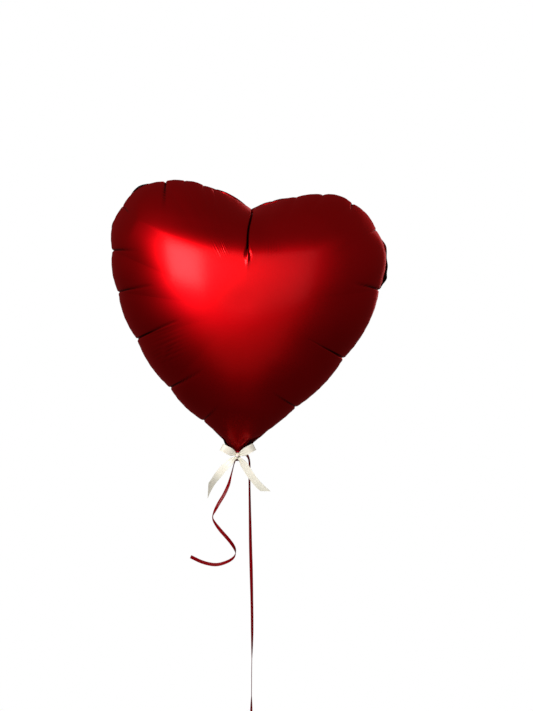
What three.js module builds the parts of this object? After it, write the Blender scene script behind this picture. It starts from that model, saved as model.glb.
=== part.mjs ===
// Heart-shaped foil balloon with a bow and two ribbons at its neck, in millimetres, +Z up.
// The origin is the middle of the tie on the gathered neck, and the front of the heart faces -Y.
import * as THREE from 'three';

// Driving dimensions
const LEAN = THREE.MathUtils.degToRad(3.2);   // the heart leans to +X over its neck
const HALF_WIDTH = 187;                       // seam line at the widest place
const WIDEST_Z = 282;
const LOBE_TOP_Z = 361;
const LOBE_TOP_X = 114;
const CLEFT_Z = 331;                          // where the two lobes' seam lines meet
const FULLNESS = 1.2;                         // a round film balloon fills to 0.6 of its radius
const PLEAT = { bottom: 262, depth: 7, halfWidth: 14 };   // fold that runs down from the cleft
const RIM_WIDTH = 6.3;                        // heat-seal rim outside the seam
const FILM = 1.2;                             // thickness of the stand-in for the film
const PLY_GAP = 0.4;                          // free space between front and rear pieces
const NECK_RADIUS = 3;
const NECK_TOP_Z = 4;
const TAIL_END_Z = -12;                       // lower end of the gathered filling tail
const HEART_CENTRE_Z = 190;                   // the panel's rings close in on this point
const RINGS = [0.16, 0.33, 0.5, 0.65, 0.77, 0.85, 0.9, 0.93, 0.965, 0.985];
const GRID = 4;                               // step of the grid that the bulge is worked out on
const PASSES = 500;
const OVERSHOOT = 1.9;

const VALVE = { bottom: 17, top: 107, bottomHalf: 5, topHalf: 11, thickness: 0.5 };

const WRAP = { inner: 4.6, outer: 5.3, bottom: -2.2, top: 1.6, turns: 2 };
const THREAD = { radius: 5.0, thickness: 0.4, z: -4.4 };
const KNOT = { z: -2, radius: 2.6, near: 5.7, far: 12.2 };

const RIBBON_RADIUS = 1.5;                    // stand-in tube for the narrow flat ribbon
const RIBBON_SIDES = 8;
const RIBBON_STEP = 7.5;                      // length of one straight piece of tube
const HAND_LOOP = { x: 18.4, y: 12, top: -364, height: 40, halfWidth: 11 };
const LOOP_KNOT = { top: -357.4, height: 6, radius: 2.4 };

const BOW_RIBBON = 9.5;                       // width of the satin ribbon
const SATIN = 0.5;
const BOW_BACK = -6.4;                        // the bow lies in front of this plane
const WAIST = { halfWidth: 2.4, bottom: -7.4, top: -0.8, depth: 2.6 };
const BEAD = { x: -0.4, radius: 2, z: -4.2 };
const CLEAR = 0.35;                           // gap kept between touching pieces

const FOIL = material(0xb8001a, 0.33, 0.95);
const CLEAR_FILM = material(0xe4e6e2, 0.25, 0);
const RED_RIBBON = material(0xa80c1c, 0.3, 0);
const SATIN_RIBBON = material(0xf6efdc, 0.38, 0);
const PEARL = material(0xf4ece0, 0.18, 0);
const THREAD_WHITE = material(0xe8e2d2, 0.5, 0);

function material(color, roughness, metalness) {
  return new THREE.MeshStandardMaterial({ color, roughness, metalness });
}

function piece(parent, name, geometry, look) {
  const mesh = new THREE.Mesh(geometry, look);
  mesh.name = name;
  parent.add(mesh);
  return mesh;
}

// ---- envelope -----------------------------------------------------------------------------

// Right half of the seam line, from the end of the filling tail up over the lobe to the cleft.
// Each stretch is sampled by itself, so that the neck and the cleft keep their corners.
function rightSeam() {
  const neckEnd = new THREE.Vector2(NECK_RADIUS, TAIL_END_Z);
  const neckTop = new THREE.Vector2(NECK_RADIUS, NECK_TOP_Z);
  const widest = new THREE.Vector2(HALF_WIDTH, WIDEST_Z);
  const lobeTop = new THREE.Vector2(LOBE_TOP_X, LOBE_TOP_Z);
  const cleft = new THREE.Vector2(0, CLEFT_Z);
  const stretches = [
    [new THREE.LineCurve(neckEnd, neckTop), 3],
    [new THREE.CubicBezierCurve(neckTop, new THREE.Vector2(98, 58),
      new THREE.Vector2(186, 175), widest), 17],
    [new THREE.CubicBezierCurve(widest, new THREE.Vector2(HALF_WIDTH, 327),
      new THREE.Vector2(160, LOBE_TOP_Z), lobeTop), 8],
    [new THREE.CubicBezierCurve(lobeTop, new THREE.Vector2(72, LOBE_TOP_Z),
      new THREE.Vector2(36, 348), cleft), 9],
  ];
  const points = [];
  for (const [curve, count] of stretches) {
    points.push(...curve.getSpacedPoints(count).slice(0, -1));
  }
  points.push(cleft);
  return points;
}

// Right and left seam lines and the short lower edge of the tail, anticlockwise from the front.
function seamLines() {
  const right = rightSeam();
  const left = right.map((p) => new THREE.Vector2(-p.x, p.y)).reverse();
  const lowerEdge = [-0.5, 0, 0.5].map((part) => new THREE.Vector2(part * NECK_RADIUS, TAIL_END_Z));
  return { right, left, whole: [...right, ...left.slice(1), ...lowerEdge] };
}

// The rim runs outside the seam and is gathered away at the neck.
function rimLine(seam) {
  return seam.map((point, i) => {
    const before = seam[(i + seam.length - 1) % seam.length];
    const after = seam[(i + 1) % seam.length];
    const out = new THREE.Vector2(after.y - before.y, before.x - after.x).normalize();
    const gathered = THREE.MathUtils.clamp((point.y - NECK_TOP_Z) / 12, 0.05, 1);
    return point.clone().addScaledVector(out, RIM_WIDTH * gathered);
  });
}

function distanceToLine(x, z, line) {
  let nearest = Infinity;
  for (let i = 0; i + 1 < line.length; i += 1) {
    const dx = line[i + 1].x - line[i].x;
    const dz = line[i + 1].y - line[i].y;
    const along = ((x - line[i].x) * dx + (z - line[i].y) * dz) / (dx * dx + dz * dz);
    const t = THREE.MathUtils.clamp(along, 0, 1);
    nearest = Math.min(nearest, Math.hypot(x - line[i].x - t * dx, z - line[i].y - t * dz));
  }
  return nearest;
}

function isInside(x, z, line) {
  let inside = false;
  for (let i = 0; i < line.length; i += 1) {
    const a = line[i];
    const b = line[(i + 1) % line.length];
    if ((a.y > z) !== (b.y > z) && x < a.x + (b.x - a.x) * (z - a.y) / (b.y - a.y)) {
      inside = !inside;
    }
  }
  return inside;
}

// Height field of a membrane held on the seam and blown up by an even pressure: each grid point
// rests at the mean of its four neighbours plus a step's worth of lift.
function membrane(seam) {
  const columns = Math.ceil(2 * HALF_WIDTH / GRID) + 3;
  const rows = Math.ceil((LOBE_TOP_Z - TAIL_END_Z) / GRID) + 3;
  const originX = -(columns - 1) * GRID / 2;
  const originZ = TAIL_END_Z - GRID;
  const heights = new Float64Array(columns * rows);
  const free = [];
  for (let row = 1; row < rows - 1; row += 1) {
    for (let column = 1; column < columns - 1; column += 1) {
      if (isInside(originX + column * GRID, originZ + row * GRID, seam)) {
        free.push(row * columns + column);
      }
    }
  }
  for (let pass = 0; pass < PASSES; pass += 1) {
    for (const i of free) {
      const neighbours = heights[i - 1] + heights[i + 1] + heights[i - columns] + heights[i + columns];
      heights[i] += OVERSHOOT * ((neighbours + GRID * GRID) / 4 - heights[i]);
    }
  }
  return (x, z) => {
    const u = THREE.MathUtils.clamp((x - originX) / GRID, 0, columns - 1.001);
    const v = THREE.MathUtils.clamp((z - originZ) / GRID, 0, rows - 1.001);
    const i = Math.floor(v) * columns + Math.floor(u);
    const s = u % 1;
    const t = v % 1;
    const lower = heights[i] * (1 - s) + heights[i + 1] * s;
    const upper = heights[i + columns] * (1 - s) + heights[i + columns + 1] * s;
    return lower * (1 - t) + upper * t;
  };
}

// Depth of the straight fold below the cleft, which fades out at its lower end.
function pleatDepth(x, z) {
  const across = Math.max(0, 1 - Math.abs(x) / PLEAT.halfWidth);
  return PLEAT.depth * across * THREE.MathUtils.smoothstep(z, PLEAT.bottom, CLEFT_Z);
}

// Half thickness of the filled envelope. A film that can't stretch fills to a steep-edged pillow,
// which is the square root of the membrane's height, and nowhere thicker than a round tube between
// the right and left seams. The gathered neck is a round cord.
function halfThickness(x, z, lift, right, left) {
  const toRight = distanceToLine(x, z, right);
  const toLeft = distanceToLine(x, z, left);
  const inward = Math.min(NECK_RADIUS, toRight, toLeft);
  const neck = Math.sqrt(inward * (2 * NECK_RADIUS - inward));
  const filled = Math.min(FULLNESS * Math.sqrt(lift(x, z)), (toRight + toLeft) / 2);
  return Math.max(neck, filled - pleatDepth(x, z));
}

// One panel: outer skin, rim and inner skin as one closed thin shell. side is -1 for the front.
function panelGeometry(side) {
  const { right, left, whole: seam } = seamLines();
  const rim = rimLine(seam);
  const lift = membrane(seam);
  const positions = [];
  const indices = [];
  const thickness = (x, z) => Math.max(FILM, halfThickness(x, z, lift, right, left));
  const outerY = (x, z) => side * (PLY_GAP / 2 + thickness(x, z));

  const addPoint = (x, y, z) => {
    positions.push(x, y, z);
    return positions.length / 3 - 1;
  };
  const skinPoint = (x, z, inner) => {
    const y = outerY(x, z);
    if (!inner) {
      return addPoint(x, y, z);
    }
    const step = 0.5;
    const slopeX = (outerY(x + step, z) - outerY(x - step, z)) / (2 * step);
    const slopeZ = (outerY(x, z + step) - outerY(x, z - step)) / (2 * step);
    const normal = new THREE.Vector3(-slopeX, 1, -slopeZ).normalize().multiplyScalar(side * FILM);
    const innerY = y - normal.y;
    return addPoint(x - normal.x, side * Math.max(PLY_GAP / 2, side * innerY), z - normal.z);
  };
  const skin = (inner) => {
    const centre = skinPoint(0, HEART_CENTRE_Z, inner);
    const loops = RINGS.map((scale) => seam.map((p) =>
      skinPoint(p.x * scale, HEART_CENTRE_Z + (p.y - HEART_CENTRE_Z) * scale, inner)));
    const rimY = side * (PLY_GAP / 2 + (inner ? 0 : FILM));
    loops.push(seam.map((p) => addPoint(p.x, rimY, p.y)));
    loops.push(rim.map((p) => addPoint(p.x, rimY, p.y)));
    return { centre, loops };
  };
  const outwards = (a, b, c, flip) => indices.push(...(flip ? [a, c, b] : [a, b, c]));
  const closeSkin = ({ centre, loops }, flip) => {
    seam.forEach((_, i) => {
      const j = (i + 1) % seam.length;
      outwards(centre, loops[0][i], loops[0][j], flip);
      for (let k = 0; k + 1 < loops.length; k += 1) {
        outwards(loops[k][i], loops[k + 1][i], loops[k + 1][j], flip);
        outwards(loops[k][i], loops[k + 1][j], loops[k][j], flip);
      }
    });
  };
  const outer = skin(false);
  const inner = skin(true);
  closeSkin(outer, side > 0);
  closeSkin(inner, side < 0);
  const outerEdge = outer.loops.at(-1);
  const innerEdge = inner.loops.at(-1);
  seam.forEach((_, i) => {
    const j = (i + 1) % seam.length;
    outwards(outerEdge[i], innerEdge[i], innerEdge[j], side > 0);
    outwards(outerEdge[i], innerEdge[j], outerEdge[j], side > 0);
  });
  const geometry = new THREE.BufferGeometry();
  geometry.setAttribute('position', new THREE.Float32BufferAttribute(positions, 3));
  geometry.setIndex(indices);
  geometry.computeVertexNormals();
  return geometry;
}

// One ply of the flat self-sealing valve that lies inside the tip. side is -1 for the front ply.
function valvePlyGeometry(side) {
  const outline = new THREE.Shape([
    new THREE.Vector2(-VALVE.bottomHalf, VALVE.bottom),
    new THREE.Vector2(VALVE.bottomHalf, VALVE.bottom),
    new THREE.Vector2(VALVE.topHalf, VALVE.top),
    new THREE.Vector2(-VALVE.topHalf, VALVE.top),
  ]);
  const geometry = upright(outline, VALVE.thickness);
  const start = side < 0 ? -PLY_GAP / 2 - VALVE.thickness : PLY_GAP / 2;
  return geometry.translate(0, start, 0);
}

// A shape drawn in the XZ plane and given a thickness along +Y, starting at y = 0.
function upright(shape, thickness) {
  const geometry = new THREE.ExtrudeGeometry(shape, { depth: thickness, bevelEnabled: false });
  return geometry.rotateX(Math.PI / 2).translate(0, thickness, 0);
}

function buildEnvelope(parent) {
  const heart = new THREE.Group();
  heart.rotation.y = LEAN;
  piece(heart, 'front_panel', panelGeometry(-1), FOIL);
  piece(heart, 'rear_panel', panelGeometry(1), FOIL);
  piece(heart, 'valve_front_ply', valvePlyGeometry(-1), CLEAR_FILM);
  piece(heart, 'valve_rear_ply', valvePlyGeometry(1), CLEAR_FILM);
  parent.add(heart);
}

// ---- neck tie -----------------------------------------------------------------------------

// Turns of ribbon wound round the neck, with a shallow groove between them.
function wrapGeometry() {
  const pitch = (WRAP.top - WRAP.bottom) / WRAP.turns;
  const groove = 0.25;
  const profile = [new THREE.Vector2(WRAP.inner, WRAP.bottom)];
  for (let turn = 0; turn < WRAP.turns; turn += 1) {
    const start = WRAP.bottom + turn * pitch;
    profile.push(new THREE.Vector2(WRAP.outer - groove, start));
    profile.push(new THREE.Vector2(WRAP.outer, start + pitch * 0.3));
    profile.push(new THREE.Vector2(WRAP.outer, start + pitch * 0.7));
  }
  profile.push(new THREE.Vector2(WRAP.outer - groove, WRAP.top));
  profile.push(new THREE.Vector2(WRAP.inner, WRAP.top));
  profile.push(profile[0].clone());
  return new THREE.LatheGeometry(profile, 24).rotateX(Math.PI / 2);
}

// The knot behind the neck is a short barrel on the axis that both ribbons swing about.
function knotGeometry() {
  const edge = 0.9;
  const profile = [
    new THREE.Vector2(0, KNOT.near),
    new THREE.Vector2(KNOT.radius - edge, KNOT.near),
    new THREE.Vector2(KNOT.radius, KNOT.near + edge),
    new THREE.Vector2(KNOT.radius, KNOT.far - edge),
    new THREE.Vector2(KNOT.radius - edge, KNOT.far),
    new THREE.Vector2(0, KNOT.far),
  ];
  return new THREE.LatheGeometry(profile, 16).translate(0, 0, KNOT.z);
}

function threadGeometry() {
  return new THREE.TorusGeometry(THREAD.radius, THREAD.thickness, 6, 28).translate(0, 0, THREAD.z);
}

function buildNeckTie(parent) {
  piece(parent, 'ribbon_wrap', wrapGeometry(), RED_RIBBON);
  piece(parent, 'ribbon_knot', knotGeometry(), RED_RIBBON);
  piece(parent, 'bow_thread', threadGeometry(), THREAD_WHITE);
}

// ---- ribbons ------------------------------------------------------------------------------

function tubeGeometry(route) {
  const path = new THREE.CatmullRomCurve3(route.map(([x, y, z]) => new THREE.Vector3(x, y, z)));
  const section = new THREE.Shape(Array.from({ length: RIBBON_SIDES }, (_, i) => {
    const angle = 2 * Math.PI * i / RIBBON_SIDES;
    return new THREE.Vector2(RIBBON_RADIUS * Math.cos(angle), RIBBON_RADIUS * Math.sin(angle));
  }));
  const steps = Math.round(path.getLength() / RIBBON_STEP);
  return new THREE.ExtrudeGeometry(section, { steps, bevelEnabled: false, extrudePath: path });
}

// Out of the knot to the right, over a short bend, and straight down to the hand loop.
const LONG_ROUTE = [
  [3.2, 10.4, -2.2], [8, 10.6, -2.4], [12.6, 11, -5], [15.4, 11.4, -11], [16.2, 11.7, -20],
  [16, 12, -35], [16.2, 12, -57], [16.8, 12, -92], [17.5, 12, -129], [18.6, 12, -172],
  [19.4, 12, -212], [19.7, 12, -245], [19.5, 12, -270], [19, 12, -300], [18.8, 12, -330],
  [18.5, 12, -356.8],
];

// Down from the knot and round an open curl that comes forwards, goes back and ends to the left.
const CURL_ROUTE = [
  [-0.4, 6.9, -5.1], [-2.4, 6.6, -10], [-4.8, 5, -16], [-6.6, 2.6, -23], [-9.2, 0.2, -33],
  [-12.4, -2.2, -44.5], [-18, -4, -57], [-24.9, -5.6, -68.5], [-31, -8, -80], [-33.6, -11.5, -88],
  [-30.2, -17, -95], [-22, -22, -105], [-12, -21, -116.5], [-4.6, -16, -127.5], [-2.4, -10, -136],
  [-6.2, -3.6, -144], [-17, 1, -150.6], [-31, 2.6, -153.6], [-47.6, 1, -150], [-63.8, -3, -142],
];

function handLoopGeometry() {
  const ring = new THREE.TorusGeometry(HAND_LOOP.halfWidth, RIBBON_RADIUS, RIBBON_SIDES, 28);
  const stretch = (HAND_LOOP.height / 2 - RIBBON_RADIUS) / HAND_LOOP.halfWidth;
  ring.scale(1, stretch, 1);
  ring.rotateX(Math.PI / 2);
  return ring.translate(HAND_LOOP.x, HAND_LOOP.y, HAND_LOOP.top - HAND_LOOP.height / 2 - RIBBON_RADIUS);
}

function loopKnotGeometry() {
  const bottom = LOOP_KNOT.top - LOOP_KNOT.height;
  const edge = 1.2;
  const profile = [
    new THREE.Vector2(0, bottom),
    new THREE.Vector2(LOOP_KNOT.radius - edge, bottom),
    new THREE.Vector2(LOOP_KNOT.radius, bottom + edge),
    new THREE.Vector2(LOOP_KNOT.radius, LOOP_KNOT.top - edge),
    new THREE.Vector2(LOOP_KNOT.radius - edge, LOOP_KNOT.top),
    new THREE.Vector2(0, LOOP_KNOT.top),
  ];
  return new THREE.LatheGeometry(profile, 16).rotateX(Math.PI / 2).translate(HAND_LOOP.x, HAND_LOOP.y, 0);
}

function buildRibbons(parent) {
  piece(parent, 'long_ribbon', tubeGeometry(LONG_ROUTE), RED_RIBBON);
  piece(parent, 'short_ribbon', tubeGeometry(CURL_ROUTE), RED_RIBBON);
  piece(parent, 'hand_loop_knot', loopKnotGeometry(), RED_RIBBON);
  piece(parent, 'hand_loop', handLoopGeometry(), RED_RIBBON);
}

// ---- bow ----------------------------------------------------------------------------------

// A loop is a flat teardrop of ribbon that runs outwards and folds back. It is drawn in plan
// (out along x, forwards along y) and extruded over the ribbon's width.
function bowLoopGeometry(length, width) {
  const outer = teardrop(0, length, 4.4);
  outer.holes.push(teardrop(SATIN * 2.2, length - SATIN, 4.4 - SATIN));
  const options = { depth: width, bevelEnabled: false, curveSegments: 10 };
  const geometry = new THREE.ExtrudeGeometry(outer, options);
  return geometry.translate(0, 0, -width / 2);
}

function teardrop(start, end, halfDepth) {
  const shape = new THREE.Shape();
  shape.moveTo(start, 0);
  shape.bezierCurveTo(start + 6, -halfDepth * 0.5, end, -halfDepth * 1.9, end, 0);
  shape.bezierCurveTo(end, halfDepth * 1.9, start + 6, halfDepth * 0.5, start, 0);
  return shape;
}

function bowLoop(parent, name, side, length, tilt) {
  const hub = new THREE.Group();
  const middle = (WAIST.bottom + WAIST.top) / 2;
  hub.position.set(side * (WAIST.halfWidth + CLEAR + 0.4), BOW_BACK - 5.2, middle + 0.6);
  hub.rotation.y = side > 0 ? -tilt : tilt - Math.PI;
  piece(hub, name, bowLoopGeometry(length, BOW_RIBBON - 2.5), SATIN_RIBBON);
  parent.add(hub);
}

// A tail is a flat strip from under the waist to a slanted cut end.
function tailGeometry(corners) {
  const strip = new THREE.Shape(corners.map(([x, z]) => new THREE.Vector2(x, z)));
  return upright(strip, SATIN).translate(0, BOW_BACK - 2.6, 0);
}

const LEFT_TAIL = [
  [-3.6, -7.9], [-10.5, -11.3], [-21.5, -20.5], [-33.5, -35.5], [-42.5, -51], [-43.5, -62],
  [-34.6, -55.4], [-25.2, -40.5], [-15.4, -28.6], [-0.6, -9.8],
];
const RIGHT_TAIL = [
  [0.8, -9.6], [9.5, -24.5], [20.6, -41], [31.8, -52.5], [44.3, -54.1], [31.4, -36.4],
  [19.5, -18], [11.5, -10.5], [4.6, -7.9],
];

function waistGeometry() {
  const shape = new THREE.Shape();
  const halfHeight = (WAIST.top - WAIST.bottom) / 2;
  shape.absellipse(0, WAIST.bottom + halfHeight, WAIST.halfWidth, halfHeight, 0, 2 * Math.PI);
  const options = { depth: WAIST.depth, bevelEnabled: false, curveSegments: 8 };
  const geometry = new THREE.ExtrudeGeometry(shape, options);
  return geometry.rotateX(Math.PI / 2).translate(0, BOW_BACK, 0);
}

function beadGeometry() {
  const y = BOW_BACK - WAIST.depth - CLEAR - BEAD.radius;
  return new THREE.SphereGeometry(BEAD.radius, 16, 10).translate(BEAD.x, y, BEAD.z);
}

function buildBow(parent) {
  bowLoop(parent, 'bow_loop_left', -1, 21.5, THREE.MathUtils.degToRad(20));
  bowLoop(parent, 'bow_loop_right', 1, 22.5, THREE.MathUtils.degToRad(20));
  piece(parent, 'bow_tail_left', tailGeometry(LEFT_TAIL), SATIN_RIBBON);
  piece(parent, 'bow_tail_right', tailGeometry(RIGHT_TAIL), SATIN_RIBBON);
  piece(parent, 'bow_waist', waistGeometry(), SATIN_RIBBON);
  piece(parent, 'pearl_bead', beadGeometry(), PEARL);
}

const group = new THREE.Group();
buildEnvelope(group);
buildNeckTie(group);
buildRibbons(group);
buildBow(group);

export default group;
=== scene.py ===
import math

import bpy
import numpy as np
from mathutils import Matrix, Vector


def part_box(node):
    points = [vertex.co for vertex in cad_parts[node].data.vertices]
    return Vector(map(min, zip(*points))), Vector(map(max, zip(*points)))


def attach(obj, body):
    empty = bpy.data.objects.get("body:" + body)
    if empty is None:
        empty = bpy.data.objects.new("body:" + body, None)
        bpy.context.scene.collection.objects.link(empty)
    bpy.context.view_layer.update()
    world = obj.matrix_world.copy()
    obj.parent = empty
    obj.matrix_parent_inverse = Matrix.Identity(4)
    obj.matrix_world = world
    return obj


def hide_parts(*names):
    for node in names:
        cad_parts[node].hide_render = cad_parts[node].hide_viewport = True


# Heart-shaped foil balloon with a satin bow, a pearl bead and two red ribbons at its neck.
# Metres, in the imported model's frame: the origin is in the tie on the neck, the front faces -Y.

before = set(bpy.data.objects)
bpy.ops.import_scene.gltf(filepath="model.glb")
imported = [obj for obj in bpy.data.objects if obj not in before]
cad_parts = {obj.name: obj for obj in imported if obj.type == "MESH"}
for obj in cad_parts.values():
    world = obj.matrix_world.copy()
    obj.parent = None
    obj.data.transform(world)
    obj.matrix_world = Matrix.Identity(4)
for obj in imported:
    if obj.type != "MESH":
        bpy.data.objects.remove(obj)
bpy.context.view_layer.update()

MM = 0.001
LEAN = math.radians(3.2)                 # the heart leans to +X over its neck
SEED = 11

CAMERA_TARGET = (0.0393, 0.0, 0.1312)
CAMERA_DISTANCE = 2.2
VIEW_HEIGHT = 0.967                      # what the camera sees at the target, from bottom to top


# ---- camera, lights and floor ---------------------------------------------------------------

def make_camera():
    data = bpy.data.cameras.new("camera")
    data.sensor_width = 36.0
    data.lens = data.sensor_width * CAMERA_DISTANCE / VIEW_HEIGHT
    camera = bpy.data.objects.new("camera", data)
    bpy.context.scene.collection.objects.link(camera)
    x, y, z = CAMERA_TARGET
    camera.location = (x, y - CAMERA_DISTANCE, z)
    camera.rotation_euler = (math.pi / 2, 0, 0)
    bpy.context.scene.camera = camera
    bpy.context.scene.view_settings.view_transform = "Standard"


STUDIO_STRENGTH = 0.22
STUDIO_LOW = 0.5                         # brightness of the studio below, with 1 above


def area_light(name, place, target, size, power, colour=(1, 1, 1)):
    data = bpy.data.lights.new(name, "AREA")
    data.shape = "RECTANGLE"
    data.size, data.size_y = size
    data.energy = power
    data.color = colour
    light = bpy.data.objects.new(name, data)
    light.location = place
    towards = Vector(target) - Vector(place)
    light.rotation_euler = towards.to_track_quat("-Z", "Y").to_euler()
    bpy.context.scene.collection.objects.link(light)


def make_lights():
    heart = (0.0, 0.0, 0.2)
    area_light("key", (-0.85, -1.9, 0.82), heart, (0.78, 0.85), 45)
    area_light("fill", (0.4, -2.4, 0.9), heart, (1.6, 1.6), 11)
    area_light("low", (0.0, -2.2, -0.7), heart, (1.8, 1.2), 3.5, (1, 0.5, 0.4))
    area_light("back", (0.7, 2.2, 0.8), heart, (1.6, 1.6), 9)


def make_world():
    """White for the camera, and a dim studio for everything that is lit or reflected."""
    world = bpy.data.worlds.new("studio")
    bpy.context.scene.world = world
    world.use_nodes = True
    nodes, links = world.node_tree.nodes, world.node_tree.links
    nodes.clear()
    output = nodes.new("ShaderNodeOutputWorld")
    mix = nodes.new("ShaderNodeMixShader")
    path = nodes.new("ShaderNodeLightPath")
    seen = nodes.new("ShaderNodeBackground")
    seen.inputs["Color"].default_value = (1, 1, 1, 1)
    studio = nodes.new("ShaderNodeBackground")
    studio.inputs["Strength"].default_value = STUDIO_STRENGTH
    coordinates = nodes.new("ShaderNodeTexCoord")
    split = nodes.new("ShaderNodeSeparateXYZ")
    ramp = nodes.new("ShaderNodeValToRGB")
    ramp.color_ramp.elements[0].position = 0.2
    ramp.color_ramp.elements[0].color = (STUDIO_LOW, STUDIO_LOW, STUDIO_LOW, 1)
    ramp.color_ramp.elements[1].position = 0.62
    ramp.color_ramp.elements[1].color = (1, 1, 1, 1)
    height = nodes.new("ShaderNodeMapRange")
    height.inputs["From Min"].default_value = -1.0
    links.new(coordinates.outputs["Generated"], split.inputs["Vector"])
    links.new(split.outputs["Z"], height.inputs["Value"])
    links.new(height.outputs["Result"], ramp.inputs["Fac"])
    links.new(ramp.outputs["Color"], studio.inputs["Color"])
    links.new(path.outputs["Is Camera Ray"], mix.inputs["Fac"])
    links.new(studio.outputs["Background"], mix.inputs[1])
    links.new(seen.outputs["Background"], mix.inputs[2])
    links.new(mix.outputs["Shader"], output.inputs["Surface"])


FLOOR_Z = -0.95
FLOOR_RADIUS = 0.6


def make_floor(look):
    bpy.ops.mesh.primitive_circle_add(
        vertices=96, radius=FLOOR_RADIUS, fill_type="NGON", location=(0.02, 0, FLOOR_Z))
    floor = bpy.context.object
    floor.name = "floor"
    floor.data.materials.append(look)
    floor.visible_glossy = False


# ---- materials ------------------------------------------------------------------------------

def shader(name, colour, roughness, metallic=0.0, **sockets):
    """A Principled material. sockets are other inputs by name, with _ for a space."""
    look = bpy.data.materials.new(name)
    look.use_nodes = True
    principled = look.node_tree.nodes["Principled BSDF"]
    principled.inputs["Base Color"].default_value = (*colour, 1)
    principled.inputs["Roughness"].default_value = roughness
    principled.inputs["Metallic"].default_value = metallic
    for socket, value in sockets.items():
        principled.inputs[socket.replace("_", " ")].default_value = value
    return look


def noise_node(look, scale, detail=3.0, stretch=(1, 1, 1)):
    nodes, links = look.node_tree.nodes, look.node_tree.links
    place = nodes.new("ShaderNodeTexCoord")
    mapping = nodes.new("ShaderNodeMapping")
    mapping.inputs["Scale"].default_value = stretch
    texture = nodes.new("ShaderNodeTexNoise")
    texture.inputs["Scale"].default_value = scale
    texture.inputs["Detail"].default_value = detail
    links.new(place.outputs["Object"], mapping.inputs["Vector"])
    links.new(mapping.outputs["Vector"], texture.inputs["Vector"])
    return texture.outputs["Fac"]


def vary(look, socket, factor, low, high):
    """Drives a socket of the material's shader from low to high as factor goes from 0 to 1."""
    nodes, links = look.node_tree.nodes, look.node_tree.links
    target = nodes["Principled BSDF"].inputs[socket]
    if isinstance(low, tuple):
        ramp = nodes.new("ShaderNodeValToRGB")
        ramp.color_ramp.elements[0].position = 0.3
        ramp.color_ramp.elements[0].color = (*low, 1)
        ramp.color_ramp.elements[1].position = 0.7
        ramp.color_ramp.elements[1].color = (*high, 1)
        links.new(factor, ramp.inputs["Fac"])
        links.new(ramp.outputs["Color"], target)
        return
    spread = nodes.new("ShaderNodeMapRange")
    spread.inputs["From Min"].default_value = 0.3
    spread.inputs["From Max"].default_value = 0.7
    spread.inputs["To Min"].default_value = low
    spread.inputs["To Max"].default_value = high
    links.new(factor, spread.inputs["Value"])
    links.new(spread.outputs["Result"], target)


def bump(look, factor, strength, distance):
    nodes, links = look.node_tree.nodes, look.node_tree.links
    relief = nodes.new("ShaderNodeBump")
    relief.inputs["Strength"].default_value = strength
    relief.inputs["Distance"].default_value = distance
    links.new(factor, relief.inputs["Height"])
    links.new(relief.outputs["Normal"], nodes["Principled BSDF"].inputs["Normal"])


# Painted shade: the near-black red mixed into the foil's base colour in creases, folds, wrinkle
# valleys and on the dark rim.
PAINTED_FOLD_SHADE_COLOUR = (0.012, 0.0005, 0.0005, 1)


def paint_fold_shade(look):
    """Paints shade into the base colour: darkens it towards near black by the mesh's point attribute
    of painted shade, which marks crease and fold cores, wrinkle valleys and the rim.
    """
    nodes, links = look.node_tree.nodes, look.node_tree.links
    target = nodes["Principled BSDF"].inputs["Base Color"]
    open_colour = target.links[0].from_socket
    painted_fold_shade = nodes.new("ShaderNodeAttribute")
    painted_fold_shade.attribute_name = "painted_fold_shade"
    mix = nodes.new("ShaderNodeMix")
    mix.data_type = "RGBA"
    mix.inputs["B"].default_value = PAINTED_FOLD_SHADE_COLOUR
    links.new(painted_fold_shade.outputs["Fac"], mix.inputs["Factor"])
    links.new(open_colour, mix.inputs["A"])
    links.new(mix.outputs["Result"], target)


BANDS_PER_SCALE = 3.14          # bands of the wave texture over a unit of UV at scale 1


def stripes(look, count):
    """Threads or ribs that repeat count times over the ribbon's width."""
    nodes, links = look.node_tree.nodes, look.node_tree.links
    place = nodes.new("ShaderNodeUVMap")
    wave = nodes.new("ShaderNodeTexWave")
    wave.bands_direction = "Y"
    wave.inputs["Scale"].default_value = count / BANDS_PER_SCALE
    wave.inputs["Distortion"].default_value = 0.4
    links.new(place.outputs["UV"], wave.inputs["Vector"])
    return wave.outputs["Fac"]


def foil_look():
    look = shader("red_foil", (0.42, 0.0005, 0.002), 0.4, metallic=1.0,
                  Specular_Tint=(1, 0.1, 0.1, 1), Coat_Weight=0.1, Coat_Roughness=0.2)
    cloud = noise_node(look, 9.0)
    vary(look, "Base Color", cloud, (0.40, 0.0003, 0.0015), (0.45, 0.0006, 0.003))
    vary(look, "Roughness", cloud, 0.38, 0.42)
    # painted shade: creases, folds, wrinkle valleys and the rim darkened in the base colour
    paint_fold_shade(look)
    grain = noise_node(look, 2600.0, detail=2.0)
    bump(look, grain, 0.05, 0.0002)
    return look


def red_ribbon_look():
    look = shader("red_ribbon", (0.2, 0.0, 0.001), 0.42, Specular_IOR_Level=0.04,
                  Coat_Weight=0.06, Coat_Roughness=0.14)
    cloud = noise_node(look, 160.0)
    vary(look, "Base Color", cloud, (0.17, 0.0, 0.001), (0.22, 0.0, 0.003))
    bump(look, stripes(look, 9), 0.12, 0.0001)
    return look


def satin_look():
    look = shader("ivory_satin", (0.78, 0.77, 0.65), 0.34, Sheen_Weight=0.05, Sheen_Roughness=0.35)
    cloud = noise_node(look, 220.0)
    vary(look, "Base Color", cloud, (0.75, 0.735, 0.61), (0.81, 0.80, 0.69))
    vary(look, "Roughness", cloud, 0.30, 0.38)
    bump(look, stripes(look, 34), 0.06, 0.0001)
    return look


def pearl_look():
    look = shader("pearl", (0.93, 0.89, 0.83), 0.16, Coat_Weight=0.8, Coat_Roughness=0.08,
                  Subsurface_Weight=0.2, Subsurface_Scale=0.001)
    cloud = noise_node(look, 500.0)
    vary(look, "Base Color", cloud, (0.90, 0.84, 0.80), (0.95, 0.92, 0.84))
    return look


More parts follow.
